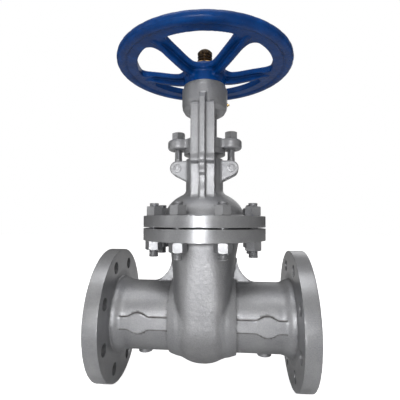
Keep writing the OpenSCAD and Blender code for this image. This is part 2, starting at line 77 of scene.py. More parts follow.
MM = 0.001
CENTRE_X = (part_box("stem")[0].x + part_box("stem")[1].x) / 2
COARSE = 1.0


def box_mm(node):
    """A CAD node's lowest and highest corner, in millimetres about the valve's centre."""
    low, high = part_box(node)
    shift = Vector((CENTRE_X, 0, 0))
    return np.array((low - shift) / MM), np.array((high - shift) / MM)


# Sizes read from the frame

BODY_LO, BODY_HI = box_mm("body")
HALF_LENGTH = BODY_HI[0]
PIPE_FLANGE_R = BODY_HI[1]
JOINT_Z = BODY_HI[2]
BONNET_Z = box_mm("bonnet")[0][2]
JOINT_FLANGE_R = box_mm("bonnet")[1][0]
HEAD_TOP_Z = box_mm("bonnet")[1][2]
BODY_FLANGE_Z = box_mm("bonnet_nuts_lower")[1][2]
BONNET_FLANGE_Z = box_mm("bonnet_nuts_upper")[0][2]
STUD_LO, STUD_HI = box_mm("bonnet_studs")
PACKING_Z = box_mm("packing_rings")[0][2]
PACKING_R = box_mm("packing_rings")[1][0]
BUSH_LO, BUSH_HI = box_mm("gland_bush")
GLAND_LO, GLAND_HI = box_mm("gland_flange")
NUT_LO, NUT_HI = box_mm("gland_nut_right")
EYE_LO, EYE_HI = box_mm("eyebolt_right")
EYEBOLT_X = (EYE_LO[0] + EYE_HI[0]) / 2
STEM_LO, STEM_HI = box_mm("stem")
WHEEL_LO, WHEEL_HI = box_mm("handwheel")
CAP_LO, CAP_HI = box_mm("bearing_cap")
POCKET_Z = box_mm("bearing_race_lower_fixed")[0][2]
POCKET_R = box_mm("bearing_race_lower_fixed")[1][0]
SCREW_LO, SCREW_HI = box_mm("bearing_set_screws")
NIPPLE_LO, NIPPLE_HI = box_mm("grease_nipple")
LOCK_LO, LOCK_HI = box_mm("handwheel_lock_nut")
PIN_LO, PIN_HI = box_mm("hinge_pin_right")
COTTER_LO, COTTER_HI = box_mm("cotter_pins")

# Sizes shared with the CAD source

BORE_R = 40.0
PIPE_R = 51.7
RAISED_FACE = 3.0
FLANGE_T = 21.0
FACE_R = 69.0
BOLT_CIRCLE_R = 80.0
PIPE_HOLE_R = 9.0
STUD_R = 7.0
STUD_NUT_AF = 22.0
STUD_NUT_H = 14.0
GLAND_NUT_AF = 19.0
BOX_R = 29.5
BOX_TOP_Z = BUSH_LO[2] + 6.0
PIN_Z = (PIN_LO[2] + PIN_HI[2]) / 2
ARM_W = 36.0
ARM_FACE_Y = 45.0
ARM_RIB_Y = 55.0
ARM_RIB_W = 9.0
ARM_INNER_Y = 35.5
HEAD_R = 36.5
HEAD_Z = HEAD_TOP_Z - 41.0
STEM_R = 12.0
STEM_NUT_R = 17.5
THREAD_PITCH = 5.0
SPOKES = 5
SPOKE_START = math.radians(90)
PAD_X = 91.5
PAD_R = 14.5
PAD_HALF_H = 8.5
CHAMBER_HALF_Y = 64.0
SEAT_ANGLE = math.radians(5)
SEAT_R = 50.0
SEAT_LEN = 18.0
WEDGE_HALF_T = 16.0
CAVITY_HALF_X = 24.0
GUSSET_R = 39.3
NECK_HALF_X = 51.0
GUSSET_TOP_Z = PIPE_R + 36.3
LUG_R = 11.5
GLAND_BOSS_R = 17.0

# The grid step of each contoured casting, in millimetres
BODY_STEP, BONNET_STEP, GLAND_STEP, WHEEL_STEP, LOCK_STEP = 2.25, 1.5, 0.9, 1.4, 0.7


# Distance fields: negative inside, in millimetres


def join(a, b, r):
    """Both shapes, with a fillet of radius r in the corner between them."""
    return np.maximum(r, np.minimum(a, b)) - np.hypot(np.maximum(r - a, 0), np.maximum(r - b, 0))


def trim(a, b, r):
    """What both shapes share, with its edge rounded to radius r."""
    return np.minimum(-r, np.maximum(a, b)) + np.hypot(np.maximum(r + a, 0), np.maximum(r + b, 0))


def slab(v, low, high):
    """Everything between two parallel planes."""
    return np.abs(v - (low + high) / 2) - (high - low) / 2


def ease(v, low, high):
    """Rises smoothly from nought at low to one at high."""
    t = np.clip((v - low) / (high - low), 0, 1)
    return t * t * (3 - 2 * t)


def fold(a, b, count, start):
    """Turns a point to the nearest of count directions: how far along it and how far beside it."""
    r = np.hypot(a, b)
    step = 2 * math.pi / count
    angle = (np.arctan2(b, a) - start + step / 2) % step - step / 2
    return r * np.cos(angle), r * np.sin(angle)


def holes(a, b, count, circle_r, hole_r):
    along, beside = fold(a, b, count, math.pi / count)
    return np.hypot(along - circle_r, beside) - hole_r


def pad_plan(ax, z):
    """The outline of the pad and its band on the side of a pipe, seen from the side."""
    pad = np.hypot(ax - PAD_X, z) - PAD_R
    band = np.maximum(np.abs(z) - PAD_HALF_H, slab(ax, 40, 121))
    return join(pad, band, 5)


def body_field(x, y, z):
    ax, ay = np.abs(x), np.abs(y)
    rx, rz = np.hypot(y, z), np.hypot(x, y)
    rim_x = HALF_LENGTH - RAISED_FACE
    hub_x = rim_x - FLANGE_T

    pipe = np.maximum(rx - PIPE_R - 5 * ease(ax, 110, 128) ** 1.5, ax - rim_x)
    collar = np.maximum(rx - np.interp(ax, [28, 38, 46, 50], [60, 58.6, 56.2, 54.6]), ax - 49)
    field = join(pipe, collar, 0.6)

    pads = trim(pad_plan(ax, z), ay - PIPE_R - 1.5, 0.8)
    field = join(field, pads, 0.6)
    drain = trim(np.hypot(ax - PAD_X, y) - 10.5, slab(z, -PIPE_R - 5.5, -30), 1.5)
    field = join(field, drain, 2.0)

    half_x = np.where(z > 0, 38 + 0.075 * z + 0.00055 * z * z, 38 + 11 * (z / 68) ** 2)
    half_y = CHAMBER_HALF_Y + 4 * ease(-z, 0, 50)
    around = np.hypot(y, np.minimum(z, 0)) / half_y
    power = np.interp(z, [-62, -20, 30, 95], [2.4, 4.5, 4.5, 2.6])
    chamber = (((ax / half_x) ** power + around**power) ** (1 / power) - 1) * 50
    chamber = np.maximum(chamber, z - JOINT_Z + 4)
    field = join(field, chamber, 2.8)

    arc = GUSSET_R - np.hypot(ax - NECK_HALF_X - GUSSET_R, z - GUSSET_TOP_Z)
    gusset = np.maximum(np.maximum(arc, slab(z, 30, GUSSET_TOP_Z)), ax - NECK_HALF_X - GUSSET_R)
    gusset = trim(gusset, ay - 4.5, 1.2)
    field = join(field, gusset, 2.5)

    flange = trim(rx - PIPE_FLANGE_R, slab(ax, hub_x, rim_x), 0.9)
    face = trim(rx - FACE_R, slab(ax, hub_x + 5, HALF_LENGTH), 0.5)
    field = join(field, np.minimum(flange, face), 2.5)
    joint = trim(rz - JOINT_FLANGE_R, slab(z, BODY_FLANGE_Z, JOINT_Z), 0.9)
    field = join(field, joint, 6.0)

    space = np.minimum(rx - BORE_R, np.maximum(rx - 53, ax - CAVITY_HALF_X))
    space = np.minimum(space, np.maximum(np.maximum(ax - CAVITY_HALF_X, ay - 52), slab(z, 0, 57)))
    shaft = np.hypot(x, np.maximum(ay - 14, 0)) - 38
    space = np.minimum(space, np.maximum(shaft, 56 - z))
    out = (ax - WEDGE_HALF_T) * math.cos(SEAT_ANGLE) + z * math.sin(SEAT_ANGLE)
    up = z * math.cos(SEAT_ANGLE) - (ax - WEDGE_HALF_T) * math.sin(SEAT_ANGLE)
    space = np.minimum(space, np.maximum(np.hypot(y, up) - SEAT_R, slab(out, 0, SEAT_LEN)))
    space = np.minimum(space, np.maximum(holes(y, z, 8, BOLT_CIRCLE_R, PIPE_HOLE_R), hub_x - 6 - ax))
    space = np.minimum(space, np.maximum(holes(x, y, 8, BOLT_CIRCLE_R, STUD_R), BODY_FLANGE_Z - 3 - z))
    return trim(field, -space, 0.4)


def lug_plan(ax, z):
    """The outline of a lug that holds an eyebolt's pin, seen from the front."""
    dx, dz = ax - EYEBOLT_X, z - PIN_Z
    nx, nz = 0.454, -0.891
    slope = nx * dx + nz * dz
    end = (dx > 0) & (dz * nx - dx * nz > 0)
    return np.where(end, np.hypot(dx, dz), np.maximum(dz, slope)) - LUG_R


def bonnet_field(x, y, z):
    ax, ay = np.abs(x), np.abs(y)
    rz = np.hypot(x, y)

    dome = np.hypot(rz / 62.5, (z - BONNET_FLANGE_Z + 3) / 43.5)
    dome = np.maximum((dome - 1) * 50, BONNET_FLANGE_Z - 8 - z)
    stuffing_box = trim(rz - BOX_R, slab(z, BONNET_FLANGE_Z, BOX_TOP_Z), 1.0)
    field = join(dome, stuffing_box, 6.0)

    flat_y = 40.5 + 1.5 * ease(z, 190, 230) + 4.4 * ease(z, 229, 235.5) - 1.4 * ease(z, 236.5, 246)
    rib_y = 47 + 4 * ease(z, 186, 206) + 3.2 * ease(z, 210, 217) - 1.2 * ease(z, 218, 226)
    rib_y = rib_y + 3.4 * ease(z, 228, 235) - 1.4 * ease(z, 236.5, 246)
    inner_y = (ARM_INNER_Y - 1.3) * ease(z, BOX_TOP_Z - 1, BOX_TOP_Z + 0.3)
    inner_y = inner_y + 1.3 * ease(z, BOX_TOP_Z, BOX_TOP_Z + 3)
    top_z = HEAD_Z + 7.5 + (ARM_FACE_Y - ay) * 0.6
    flat = trim(ay - flat_y, ax - ARM_W / 2, 1.6)
    flat = trim(flat, np.maximum(z - top_z, 160 - z), 1.6)
    flat = trim(flat, inner_y - ay, 1.2)
    rib_top = HEAD_Z + 12 + (ARM_RIB_Y - ay) * 0.78
    rib = trim(ay - rib_y, ax - ARM_RIB_W / 2, 1.8)
    rib = trim(rib, np.maximum(z - rib_top, 160 - z), 1.6)
    rib = np.maximum(rib, inner_y + 1 - ay)
    arms = join(flat, rib, 1.8)

    bowl = np.interp(z, [HEAD_Z, HEAD_Z + 1, HEAD_Z + 4, HEAD_Z + 10, HEAD_Z + 17, HEAD_TOP_Z],
                     [23, 27, 31.8, 35.4, HEAD_R, HEAD_R])
    head = trim(rz - bowl, slab(z, HEAD_Z, HEAD_TOP_Z), 0.9)
    field = join(field, arms, 2.2)
    field = join(field, head, 2.2)

    lugs = trim(lug_plan(ax, z), slab(ay, 6.4, 14), 1.3)
    field = join(field, lugs, 2.2)

    flange = trim(rz - JOINT_FLANGE_R, slab(z, BONNET_Z, BONNET_FLANGE_Z), 0.9)
    field = join(field, flange, 3.0)

    dome_space = (np.hypot(rz / 52, (z - BONNET_FLANGE_Z + 3) / 39) - 1) * 40
    dome_space = np.where(z < BONNET_FLANGE_Z - 3, rz - 52, dome_space)
    space = np.minimum(dome_space, np.maximum(rz - 18, slab(z, 160, PACKING_Z + 1)))
    space = np.minimum(space, np.maximum(rz - PACKING_R, slab(z, PACKING_Z, BOX_TOP_Z + 40)))
    space = np.minimum(space, np.maximum(rz - STEM_NUT_R - 0.05, slab(z, HEAD_Z - 5, HEAD_TOP_Z + 5)))
    space = np.minimum(space, np.maximum(rz - POCKET_R, POCKET_Z - z))
    stud_holes = np.maximum(holes(x, y, 8, BOLT_CIRCLE_R, STUD_R), z - BONNET_FLANGE_Z - 3)
    space = np.minimum(space, stud_holes)
    side_holes = np.hypot(y, z - (SCREW_LO[2] + SCREW_HI[2]) / 2) - (SCREW_HI[1] + 0.2)
    space = np.minimum(space, np.maximum(side_holes, POCKET_R - 1 - ax))
    return trim(field, -space, 0.4)


def gland_field(x, y, z):
    ax = np.abs(x)
    boss = np.hypot(ax - EYEBOLT_X, y) - GLAND_BOSS_R
    low, high = GLAND_LO[2], GLAND_HI[2]
    boss = trim(boss, slab(z, low, high), 5.5)
    disc = trim(np.hypot(x, y) - 30, slab(z, low, high), 2.0)
    web = trim(np.maximum(np.abs(y) - 14.4, ax - EYEBOLT_X), slab(z, low + 2, high - 0.8), 2.2)
    field = join(join(boss, web, 3.0), disc, 3.0)
    space = np.minimum(np.hypot(x, y) - STEM_R - 1, np.hypot(ax - EYEBOLT_X, y) - 7)
    return trim(field, -space, 0.5)


def wheel_field(x, y, z):
    r = np.hypot(x, y)
    along, beside = fold(x, y, SPOKES, SPOKE_START)
    top, rim_r = WHEEL_HI[2], WHEEL_HI[0]

    spoke = np.maximum(np.abs(beside) - 12.0 - 3.0 * ease(along, 80, 110), -along)
    plan = join(join(r - 34.5, spoke, 12.0), 108.5 - r, 10.0)
    plan = np.maximum(plan, r - 128)
    middle = top - 20.5 + 14.0 * ease(r, 34, 104)
    plate = trim(plan, np.abs(z - middle) - 3.9 - 1.6 * ease(r, 90, 110), 1.6)

    rib_low = middle - 12.0 + 5.5 * ease(r, 80, 112)
    rib = trim(np.abs(beside) - 4.2, np.maximum(rib_low - z, z - middle), 1.8)
    rib = trim(rib, np.maximum(r - 113, -along), 3.0)
    field = join(plate, rib, 2.0)

    turn = np.arctan2(y, x) * rim_r
    pitch = 2 * math.pi * rim_r / 34
    notch = np.exp(-((((turn / pitch) % 1) - 0.5) * pitch / 3.6) ** 2)
    grip_r, grip_z = (r - rim_r + 8.3 + 0.35 * notch) / 8.3, (z - top + 7.3) / 7.3
    grip = ((np.abs(grip_r) ** 2.4 + np.abs(grip_z) ** 2.4) ** (1 / 2.4) - 1) * 7.5
    field = join(field, grip, 0.7)

    hub = trim(r - 33 + 0.06 * (z - WHEEL_LO[2]), slab(z, WHEEL_LO[2], top - 12), 1.6)
    field = join(field, hub, 4.5)
    bore = np.minimum(r - STEM_NUT_R - 0.05, np.maximum(np.abs(y) - 3, slab(x, 12, 20.6)))
    return trim(field, -bore, 0.5)


def contour(field, low, high, step):
    """The vertices and four-sided faces of the surface where the field is zero. Each vertex lies
    where the planes of the surface round it meet, so edges stay crisp."""
    step = step * COARSE
    low = np.array(low, float)
    size = np.ceil((np.array(high) - low) / step).astype(int) + 1
    axis = [low[i] + step * np.arange(size[i]) for i in range(3)]
    value = np.empty(size)
    for first in range(0, size[0], 12):
        part = np.meshgrid(axis[0][first:first + 12], axis[1], axis[2], indexing="ij")
        value[first:first + 12] = field(*part)
    inside = value < 0

    points, quads = [], []
    for a in range(3):
        b, c = (a + 1) % 3, (a + 2) % 3
        near = [slice(None)] * 3
        far = [slice(None)] * 3
        near[a], far[a] = slice(0, -1), slice(1, None)
        start = np.argwhere(inside[tuple(near)] != inside[tuple(far)])
        end = start.copy()
        end[:, a] += 1
        v0, v1 = value[tuple(start.T)], value[tuple(end.T)]
        p0 = low + step * start
        t0, t1, rising = np.zeros(len(start)), np.ones(len(start)), v0 < 0
        for _ in range(3):
            t = np.clip(t0 + (t1 - t0) * v0 / (v0 - v1), t0, t1)
            p = p0.copy()
            p[:, a] += step * t
            v = field(*p.T)
            before = (v < 0) == rising
            t0, v0 = np.where(before, t, t0), np.where(before, v, v0)
            t1, v1 = np.where(before, t1, t), np.where(before, v1, v)
        points.append(p)
        cells = []
        for db, dc in ((-1, -1), (0, -1), (0, 0), (-1, 0)):
            cell = start.copy()
            cell[:, b] += db
            cell[:, c] += dc
            cells.append((cell[:, 0] * size[1] + cell[:, 1]) * size[2] + cell[:, 2])
        quad = np.stack(cells, 1)
        quad[~rising] = quad[~rising][:, ::-1]
        quads.append(quad)
    points, quads = np.concatenate(points), np.concatenate(quads)

    normal = slope_of(field, points)
    ids, corner = np.unique(quads.ravel(), return_inverse=True)
    corner = corner.reshape(-1, 4)

    def total(v):
        return np.bincount(corner.ravel(), np.repeat(v, 4), len(ids))

    count = total(np.ones(len(points)))
    mean = np.stack([total(points[:, i]) / count for i in range(3)], 1)
    reach = (points * normal).sum(1)
    matrix = np.empty((len(ids), 3, 3))
    target = np.empty((len(ids), 3))
    for i in range(3):
        for j in range(i, 3):
            matrix[:, i, j] = matrix[:, j, i] = total(normal[:, i] * normal[:, j])
        target[:, i] = total(normal[:, i] * reach)
    target -= np.einsum("nij,nj->ni", matrix, mean)
    matrix += 0.08 * np.eye(3)
    vertex = mean + np.linalg.solve(matrix, target[:, :, None])[:, :, 0]
    cell = np.stack([ids // (size[1] * size[2]), ids // size[2] % size[1], ids % size[2]], 1)
    corner_low = low + step * cell
    return np.clip(vertex, corner_low, corner_low + step), corner


def slope_of(field, points):
    """The unit direction in which the field rises at each point."""
    slope = np.empty_like(points)
    for i in range(3):
        shift = np.zeros(3)
        shift[i] = 0.05
        slope[:, i] = field(*(points + shift).T) - field(*(points - shift).T)
    return slope / np.maximum(np.linalg.norm(slope, axis=1, keepdims=True), 1e-9)


# Swept shapes: each returns vertices and faces


def spin(outline, steps=48, frm="z", at=(0, 0, 0)):
    """Turns a closed outline of (radius, height) points round an axis."""
    outline = np.array(outline, float)
    count = len(outline)
    angle = 2 * np.pi * np.arange(steps) / steps
    r, h = outline[:, 0][None, :], outline[:, 1][None, :]
    a, b = r * np.cos(angle)[:, None], r * np.sin(angle)[:, None]
    h = np.broadcast_to(h, a.shape)
    order = {"z": (a, b, h), "x": (h, a, b), "y": (b, h, a)}[frm]
    verts = np.stack(order, 2).reshape(-1, 3) + np.array(at)
    faces = []
    for i in range(steps):
        n = (i + 1) % steps
        for j in range(count):
            k = (j + 1) % count
            if outline[j][0] < 1e-6 and outline[k][0] < 1e-6:
                continue
            faces.append((i * count + j, n * count + j, n * count + k, i * count + k))
    return verts, faces


def rounded(points, r, steps=3):
    """An outline with each corner rounded to radius r, or less where its sides are short."""
    points = [np.array(p, float) for p in points]
    result = []
    for i, p in enumerate(points):
        a, b = points[i - 1] - p, points[(i + 1) % len(points)] - p
        la, lb = np.linalg.norm(a), np.linalg.norm(b)
        if p[0] < 1e-6:
            result.append(tuple(p))
            continue
        cut = min(r, la * 0.45, lb * 0.45)
        a, b = p + a / la * cut, p + b / lb * cut
        for s in range(steps + 1):
            t = s / steps
            result.append(tuple((1 - t) ** 2 * a + 2 * t * (1 - t) * p + t * t * b))
    return result


def hex_nut(flats, bore_r, low, high, at, turn=0.0, steps=72):
    """A hexagonal nut with its corners chamfered at both ends."""
    x, y = at
    angle = 2 * np.pi * np.arange(steps) / steps
    side = flats / 2 / np.cos((angle % (np.pi / 3)) - np.pi / 6)
    ring_r = flats / 2 * 0.95
    fall = (side - ring_r) * 0.5
    lip = 0.8
    rows = [(bore_r + 0 * angle, high - lip), (bore_r + lip + 0 * angle, high), (ring_r + 0 * angle, high),
            (side, high - fall), (side, low + fall), (ring_r + 0 * angle, low),
            (bore_r + lip + 0 * angle, low), (bore_r + 0 * angle, low + lip)]
    verts = []
    for r, z in rows:
        z = z + 0 * angle
        verts.append(np.stack([x + r * np.cos(angle + turn), y + r * np.sin(angle + turn), z], 1))
    verts = np.concatenate(verts)
    faces = []
    for j in range(len(rows)):
        k = (j + 1) % len(rows)
        for i in range(steps):
            n = (i + 1) % steps
            faces.append((k * steps + i, k * steps + n, j * steps + n, j * steps + i))
    return verts, faces


def rod_with_thread(r, low, high, threads, pitch, depth, at=(0, 0), hand=1, steps=28, cut=0.5, lead=0.0):
    """A round bar along Z. Between each (start, end) in threads its surface winds as a thread.
    cut shapes the groove: 0.5 is a vee, less is flatter at crest and root."""
    levels = {low, high}
    for start, end in threads:
        levels.update(np.arange(start, end, pitch / 8))
        levels.update((start, end))
    levels = np.array(sorted(v for v in levels if low <= v <= high))
    angle = 2 * np.pi * np.arange(steps) / steps
    rows = []
    for z in levels:
        groove = np.zeros(steps)
        for start, end in threads:
            if start <= z <= end:
                phase = (z / pitch - hand * angle / (2 * np.pi)) % 1
                wave = np.clip((0.5 - np.abs(phase - 0.5)) / cut - (0.5 / cut - 1) / 2, 0, 1)
                run_out = min(1, (z - start) / pitch * 1.2, (end - z) / pitch * 1.2)
                groove = np.maximum(groove, wave * max(0.0, run_out))
        shrink = max(0.0, lead - (high - z), lead - (z - low)) if lead else 0.0
        rr = r - depth * groove - shrink
        rows.append(np.stack([at[0] + rr * np.cos(angle), at[1] + rr * np.sin(angle), z + 0 * angle], 1))
    verts = np.concatenate(rows + [np.array([[at[0], at[1], low], [at[0], at[1], high]])])
    count = len(levels)
    faces = []
    for j in range(count - 1):
        for i in range(steps):
            n = (i + 1) % steps
            faces.append((j * steps + i, j * steps + n, (j + 1) * steps + n, (j + 1) * steps + i))
    for i in range(steps):
        n = (i + 1) % steps
        faces.append((count * steps, n, i))
        faces.append((count * steps + 1, (count - 1) * steps + i, (count - 1) * steps + n))
    return verts, faces


def block(low, high, bevel):
    """A box with its edges cut at 45 degrees."""
    mesh = bmesh.new()
    bmesh.ops.create_cube(mesh, size=1)
    low, high = np.array(low, float), np.array(high, float)
    for v in mesh.verts:
        v.co = Vector((low + high) / 2 + (high - low) * np.array(v.co))
    bmesh.ops.bevel(mesh, geom=mesh.edges[:], offset=bevel, segments=2, affect="EDGES", profile=0.5)
    mesh.verts.index_update()
    verts = np.array([v.co for v in mesh.verts])
    faces = [tuple(v.index for v in f.verts) for f in mesh.faces]
    mesh.free()
    return verts, faces


def tube(path, r, steps=12):
    """A round wire along a path of points, with rounded ends."""
    path = np.array(path, float)
    run = np.gradient(path, axis=0)
    run /= np.linalg.norm(run, axis=1, keepdims=True)
    side = np.cross(run, [0.0, 1.0, 0.0])
    side /= np.maximum(np.linalg.norm(side, axis=1, keepdims=True), 1e-9)
    lift = np.cross(run, side)
    angle = 2 * np.pi * np.arange(steps) / steps
    rows = []
    for i, p in enumerate(path):
        rr = r * (0.6 if i in (0, len(path) - 1) else 1.0)
        rows.append(p + rr * (np.cos(angle)[:, None] * side[i] + np.sin(angle)[:, None] * lift[i]))
    verts = np.concatenate(rows)
    faces = []
    for j in range(len(path) - 1):
        for i in range(steps):
            n = (i + 1) % steps
            faces.append((j * steps + i, j * steps + n, (j + 1) * steps + n, (j + 1) * steps + i))
    faces.append(tuple(reversed(range(steps))))
    faces.append(tuple((len(path) - 1) * steps + i for i in range(steps)))
    return verts, faces


def together(*parts):
    """Several shapes as one."""
    verts, faces, base = [], [], 0
    for v, f in parts:
        verts.append(v)
        faces.extend(tuple(int(i) + base for i in face) for face in f)
        base += len(v)
    return np.concatenate(verts), faces


# Materials


class Shader:
    """A material's nodes, added one by one."""

    def __init__(self, name):
        self.material = bpy.data.materials.new(name)
        self.material.use_nodes = True
        self.tree = self.material.node_tree
        self.surface = next(n for n in self.tree.nodes if n.type == "BSDF_PRINCIPLED")
        self.place = self.tree.nodes.new("ShaderNodeTexCoord").outputs["Object"]

    def node(self, kind, inputs=(), **settings):
        made = self.tree.nodes.new("ShaderNode" + kind)
        for key, value in settings.items():
            setattr(made, key, value)
        for key, value in dict(inputs).items():
            if isinstance(value, bpy.types.NodeSocket):
                self.tree.links.new(value, made.inputs[key])
            else:
                made.inputs[key].default_value = value
        return made

    def noise(self, scale, detail=4.0, rough=0.55, place=None):
        made = self.node("TexNoise", {"Vector": place or self.place, "Scale": scale, "Detail": detail,
                                      "Roughness": rough})
        return made.outputs["Fac"]

    def stretched(self, scale):
        return self.node("Mapping", {"Vector": self.place, "Scale": scale}).outputs["Vector"]

    def mask(self, name):
        return self.node("Attribute", attribute_name=name).outputs["Fac"]

    def ramp(self, value, stops):
        made = self.node("ValToRGB", {"Fac": value})
        ramp = made.color_ramp
        while len(ramp.elements) < len(stops):
            ramp.elements.new(0.5)
        for element, (at, colour) in zip(ramp.elements, stops):
            element.position = at
            element.color = (*colour, 1) if len(colour) == 3 else colour
        return made.outputs["Color"]

    def grey(self, value, low, high, to_low, to_high):
        made = self.node("MapRange", {"Value": value, "From Min": low, "From Max": high,
                                      "To Min": to_low, "To Max": to_high})
        return made.outputs["Result"]

    def blend(self, fac, a, b, kind="MIX"):
        made = self.node("Mix", data_type="RGBA", blend_type=kind)
        for index, value in ((0, fac), (6, a), (7, b)):
            if isinstance(value, bpy.types.NodeSocket):
                self.tree.links.new(value, made.inputs[index])
            elif index == 0:
                made.inputs[index].default_value = value
            else:
                made.inputs[index].default_value = (*value, 1)
        return made.outputs[2]

    def times(self, a, b, operation="MULTIPLY"):
        made = self.node("Math", operation=operation)
        for index, value in ((0, a), (1, b)):
            if isinstance(value, bpy.types.NodeSocket):
                self.tree.links.new(value, made.inputs[index])
            else:
                made.inputs[index].default_value = value
        return made.outputs[0]

    def bump(self, heights):
        """Bumps from (height, strength, distance in metres), the last on top."""
        normal = None
        for height, strength, distance in heights:
            inputs = {"Height": height, "Strength": strength, "Distance": distance}
            if normal is not None:
                inputs["Normal"] = normal
            normal = self.node("Bump", inputs).outputs["Normal"]
        self.tree.links.new(normal, self.surface.inputs["Normal"])

    def set(self, **values):
        for key, value in values.items():
            socket = self.surface.inputs[key.replace("_", " ")]
            if isinstance(value, bpy.types.NodeSocket):
                self.tree.links.new(value, socket)
            else:
                socket.default_value = value


def silver_paint():
    s = Shader("silver_paint")
    machined, crevice_shade = s.mask("machined"), s.mask("crevice_shade")
    patches = s.noise(28, 5, 0.6)
    tone = s.ramp(patches, [(0.3, (0.245, 0.248, 0.262)), (0.55, (0.295, 0.298, 0.31)),
                            (0.75, (0.35, 0.352, 0.362))])
    speckle = s.noise(1500, 2, 0.5)
    tone = s.blend(s.grey(speckle, 0.42, 0.60, 0.0, 0.45), tone, (0.46, 0.465, 0.48))
    # Painted shade, partly dirt: darker in corners and creases, where shade falls, in a warm dark tone
    # broken up by noise.
    crevice_shade_and_dirt = s.times(s.grey(crevice_shade, 0.12, 0.66, 0.0, 0.88), s.grey(s.noise(120, 3), 0.3, 0.7, 0.7, 1.0))
    tone = s.blend(crevice_shade_and_dirt, tone, (0.070, 0.064, 0.062))
    s.set(Base_Color=tone, Metallic=0.72, Specular_IOR_Level=0.5)
    rough = s.grey(s.noise(300, 4), 0.3, 0.7, 0.40, 0.52)
    s.set(Roughness=s.times(rough, s.grey(machined, 0, 1, 1.0, 0.74)))
    cast = s.grey(machined, 0, 1, 1.0, 0.10)
    s.bump([(s.noise(160, 3, 0.5), s.times(cast, 0.45), 0.0007),
            (s.noise(700, 4, 0.6), s.times(cast, 0.5), 0.00026)])
    return s.material


def blue_paint():
    s = Shader("blue_paint")
    crevice_shade = s.mask("crevice_shade")
    patches = s.noise(40, 5, 0.6)
    tone = s.ramp(patches, [(0.3, (0.000, 0.026, 0.125)), (0.6, (0.000, 0.044, 0.20)),
                            (0.8, (0.002, 0.072, 0.30))])
    # Painted shade: darker in corners and creases, where shade falls.
    tone = s.blend(s.grey(crevice_shade, 0.04, 0.45, 0.0, 0.93), tone, (0.001, 0.007, 0.028))
    chips = s.times(s.grey(s.noise(420, 5, 0.7), 0.70, 0.74, 0, 1), s.grey(s.noise(55, 2), 0.52, 0.60, 0, 1))
    tone = s.blend(chips, tone, (0.20, 0.30, 0.48))
    s.set(Base_Color=tone, Metallic=0.0, Coat_Weight=0.06, Coat_Roughness=0.12, Specular_IOR_Level=0.16)
    s.set(Roughness=s.grey(s.noise(220, 4), 0.3, 0.7, 0.26, 0.42))
    s.bump([(s.noise(75, 4, 0.55), 0.55, 0.0016), (s.noise(420, 4, 0.6), 0.30, 0.0004)])
    return s.material


def greasy_steel_painted_glints():
    s = Shader("stem_steel")
    grease_and_glint = s.noise(260, 4, 0.6)
    # Dark browns are a grease tint; the brown-gold top stop makes spots of painted highlight, standing for
    # glints.
    tone = s.ramp(grease_and_glint, [(0.35, (0.022, 0.015, 0.010)), (0.55, (0.060, 0.042, 0.028)),
                         (0.68, (0.30, 0.19, 0.085))])
    above = s.node("SeparateXYZ", {"Vector": s.place}).outputs["Z"]
    clean = s.grey(above, 0.272, 0.282, 1.0, 0.0)
    tone = s.blend(clean, tone, (0.50, 0.50, 0.51))
    s.set(Base_Color=tone, Metallic=0.85, Specular_IOR_Level=0.5)
    s.set(Roughness=s.grey(s.noise(500, 3), 0.3, 0.7, 0.22, 0.46))
    s.bump([(s.noise(900, 3), 0.25, 0.0001)])
    return s.material


def metal(name, colours, rough, metallic=1.0, scale=300, bump=0.15, lines=None):
    """Bare metal in two tones, with fine turning or grinding lines across the axis that lines scales."""
    s = Shader(name)
    place = s.stretched(lines) if lines else s.place
    tone = s.ramp(s.noise(scale, 4, 0.6, place), [(0.35, colours[0]), (0.68, colours[1])])
    s.set(Base_Color=tone, Metallic=metallic, Specular_IOR_Level=0.5)
    s.set(Roughness=s.grey(s.noise(scale * 1.7, 3, 0.5, place), 0.3, 0.7, rough[0], rough[1]))
    s.bump([(s.noise(scale * 2.5, 3, 0.6, place), bump, 0.00015)])
    return s.material


MATERIALS = {
    "silver_paint": silver_paint(),
    "blue_paint": blue_paint(),
    "stem_steel": greasy_steel_painted_glints(),
    "seat_steel": metal("seat_steel", [(0.60, 0.60, 0.61), (0.72, 0.72, 0.73)],
                        (0.16, 0.28), lines=(6, 1, 1)),
    "cast_steel": metal("cast_steel", [(0.26, 0.25, 0.25), (0.38, 0.37, 0.37)],
                        (0.45, 0.62), scale=240, bump=0.5),
    "bearing_steel": metal("bearing_steel", [(0.58, 0.58, 0.60), (0.70, 0.70, 0.72)],
                           (0.14, 0.26), lines=(1, 1, 6)),
    "bronze": metal("bronze", [(0.36, 0.22, 0.10), (0.52, 0.34, 0.16)],
                    (0.28, 0.42), lines=(1, 1, 5)),
    "brass": metal("brass", [(0.62, 0.43, 0.17), (0.80, 0.60, 0.28)],
                   (0.18, 0.30), scale=500, bump=0.08),
    "graphite": metal("graphite", [(0.020, 0.020, 0.022), (0.065, 0.065, 0.070)],
                      (0.45, 0.65), 0.25, 700, 0.6, (1, 1, 2.2)),
    "black_steel": metal("black_steel", [(0.012, 0.012, 0.013), (0.045, 0.042, 0.040)],
                         (0.35, 0.55), 0.7, 500, 0.2),
}


# Pieces


def row(points):
    """From millimetres about the valve's centre to metres in the frame."""
    points = np.array(points, float) * MM
    points[:, 0] += CENTRE_X
    return points


def paint_masks(mesh, points, field, machined):
    """Stores where the surface is machined and how deep in a corner each of its points lies."""
    normal = np.empty(len(points) * 3)
    mesh.vertices.foreach_get("normal", normal)
    normal = normal.reshape(-1, 3)
    corner = np.zeros(len(points))
    # Corner depth, which the paints turn into painted shade in corners and creases.
    if field is not None:
        for reach in (1.6, 3.5, 7.0):
            outward = field(*(points + normal * reach).T)
            corner += np.clip(1 - outward / reach, 0, 1) / 3
    for name, value in (("machined", machined), ("crevice_shade", corner)):
        layer = mesh.attributes.new(name, "FLOAT", "POINT")
        layer.data.foreach_set("value", np.asarray(value, np.float32))


